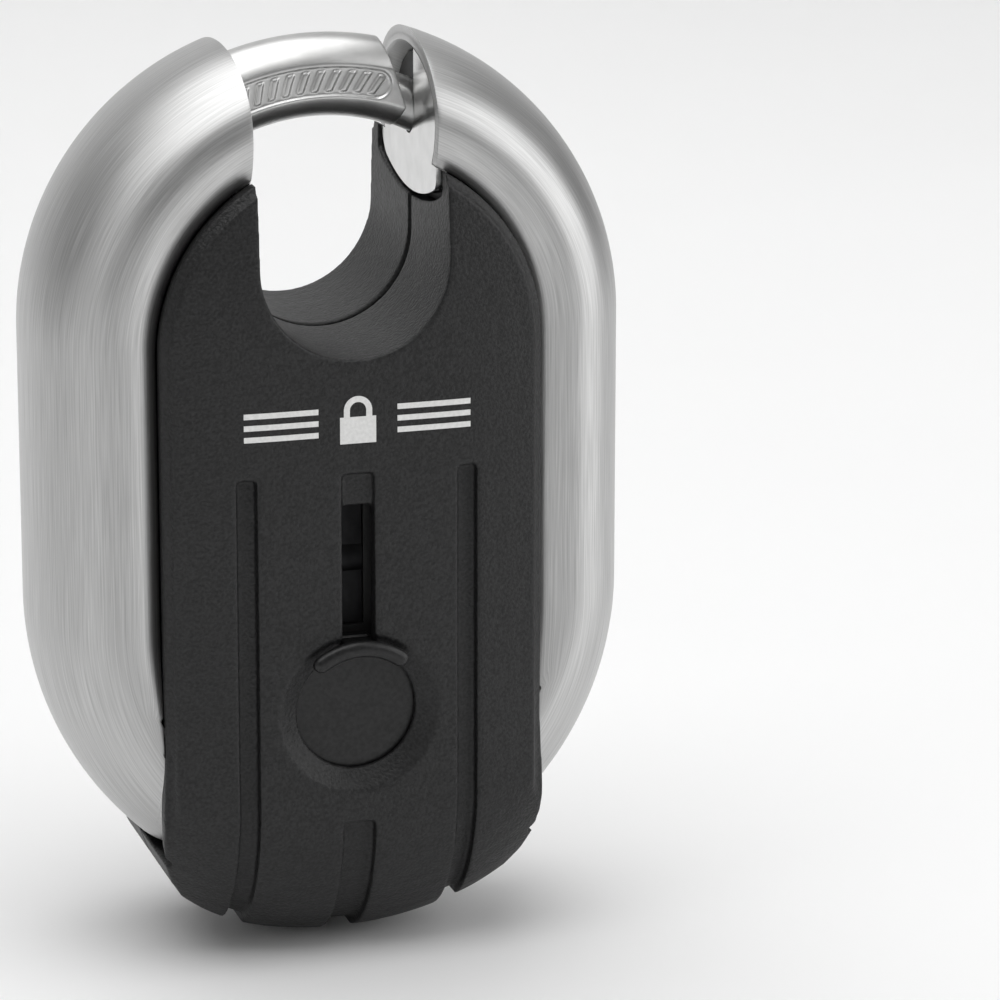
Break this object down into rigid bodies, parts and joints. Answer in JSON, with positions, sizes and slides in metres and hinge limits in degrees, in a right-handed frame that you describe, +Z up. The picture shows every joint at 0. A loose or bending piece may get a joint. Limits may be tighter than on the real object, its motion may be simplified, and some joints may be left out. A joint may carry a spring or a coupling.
{
  "type": "shrouded disc padlock",
  "caption": "Shrouded disc padlock: steel side shells, plastic covers, a turning curved shackle in a U opening, and a sliding cover over a front keyway.",
  "frame": {"origin": "underside of the shackle's crown, on the middle plane, where the lock hangs from a staple", "axes": "+X to the right seen from the key side, +Y to the back, +Z up; the keyway faces -Y"},
  "size_m": [0.0696, 0.0365, 0.106],
  "materials": {
    "black_plastic": "fine moulded grain, satin",
    "slider_plastic": "smooth satin",
    "print_white": "pad-printed light grey ink",
    "brushed_steel": "stainless steel brushed along its length",
    "polished_steel": "ground and polished",
    "shackle_steel": "plated hardened steel, satin",
    "gear_steel": "sintered steel, machined teeth",
    "spring_steel": "drawn wire and strip",
    "dark_steel": "blackened steel",
    "housing_alloy": "die-cast, black coating",
    "brass": "machined",
    "seal_rubber": "moulded rubber"
  },
  "bodies": {
    "lock_body": {"front_cover": "black_plastic", "rear_cover": "black_plastic", "left_shell": "brushed_steel", "right_shell": "brushed_steel", "front_housing": "housing_alloy", "rear_housing": "housing_alloy", "receiver_plate": "polished_steel", "guide_plate": "polished_steel", "shell_pins": "spring_steel", "housing_screws": "dark_steel", "cover_studs": "black_plastic", "drill_guard": "polished_steel", "cylinder_body": "brass", "chamber_cap": "brass", "pin_springs": "spring_steel", "keyway_seal": "seal_rubber", "shackle_bush": "black_plastic", "index_spring": "spring_steel", "slider_spring": "dark_steel"},
    "shackle": {"shackle": "shackle_steel", "shackle_sector": "gear_steel", "sector_rivets": "gear_steel"},
    "key_plug": {"plug": "brass", "plug_clip": "spring_steel", "drive_gear": "gear_steel", "gear_screw": "dark_steel"},
    "key_pin_set": {"key_pins": "brass"},
    "driver_pin_set": {"driver_pins": "brass"},
    "index_ball": {"index_ball": "polished_steel"},
    "keyway_slider": {"keyway_slider": "slider_plastic"}
  },
  "joints": [
    {"name": "shackle_turn", "type": "hinge", "parent": "lock_body", "child": "shackle", "pos_m": [0, 0, -0.02355], "axis": [0, -1, 0], "range_deg": [0, 63]},
    {"name": "plug_turn", "type": "hinge", "parent": "lock_body", "child": "key_plug", "pos_m": [0, 0, -0.06615], "axis": [0, 1, 0], "range_deg": [0, 126]},
    {"name": "keyway_cover_slide", "type": "slide", "parent": "lock_body", "child": "keyway_slider", "axis": [0, 0, 1], "range_m": [0, 0.015]},
    {"name": "driver_pin_press", "type": "slide", "parent": "lock_body", "child": "driver_pin_set", "axis": [0, 0, -1], "range_m": [0, 0.0015], "stiffness_N_per_m": 40, "deforming": ["pin_springs"]},
    {"name": "key_pin_lift", "type": "slide", "parent": "key_plug", "child": "key_pin_set", "axis": [0, 0, 1], "range_m": [0, 0.001]},
    {"name": "index_ball_press", "type": "slide", "parent": "lock_body", "child": "index_ball", "axis": [0, 1, 0], "range_m": [0, 0.0005], "stiffness_N_per_m": 60, "deforming": ["index_spring"]}
  ],
  "couplings": [
    {"joint": "plug_turn", "follows": "shackle_turn", "ratio": 2}
  ]
}
